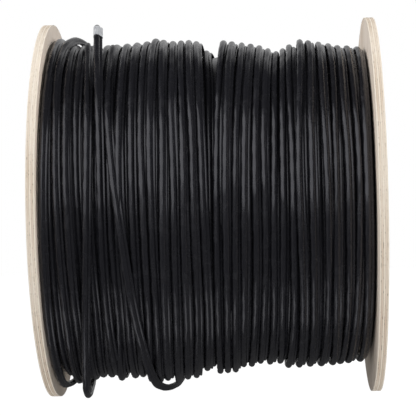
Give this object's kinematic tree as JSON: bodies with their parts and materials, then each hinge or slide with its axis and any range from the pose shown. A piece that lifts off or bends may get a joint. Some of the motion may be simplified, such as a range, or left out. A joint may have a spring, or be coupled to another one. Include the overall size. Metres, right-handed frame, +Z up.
{
  "type": "wooden cable drum",
  "caption": "Plywood drum lying on its two round flanges, wound full with black outdoor cable; tie bolts hold flanges and barrel together.",
  "frame": {"origin": "on the floor under the middle of the drum, at the bottom centre of its box", "axes": "+X along the drum's axis to the flange without the start hole, +Y to the back, +Z up"},
  "size_m": [0.365, 0.3999, 0.4],
  "materials": {
    "plywood": "sanded bare plywood",
    "fibreboard": "bare wound board",
    "zinc_steel": "zinc plated",
    "cable_jacket": "smooth black polyethylene",
    "tape": "pale grey tape"
  },
  "bodies": {
    "root": {"flange_left": "plywood", "flange_right": "plywood", "barrel": "fibreboard", "tie_bolt_1": "zinc_steel", "tie_bolt_2": "zinc_steel", "tie_bolt_3": "zinc_steel", "tie_bolt_4": "zinc_steel", "cable_winding": "cable_jacket", "cable_end": "cable_jacket", "crossing_turn": "cable_jacket", "slack_turn": "cable_jacket", "end_tape": "tape"}
  },
  "joints": []
}
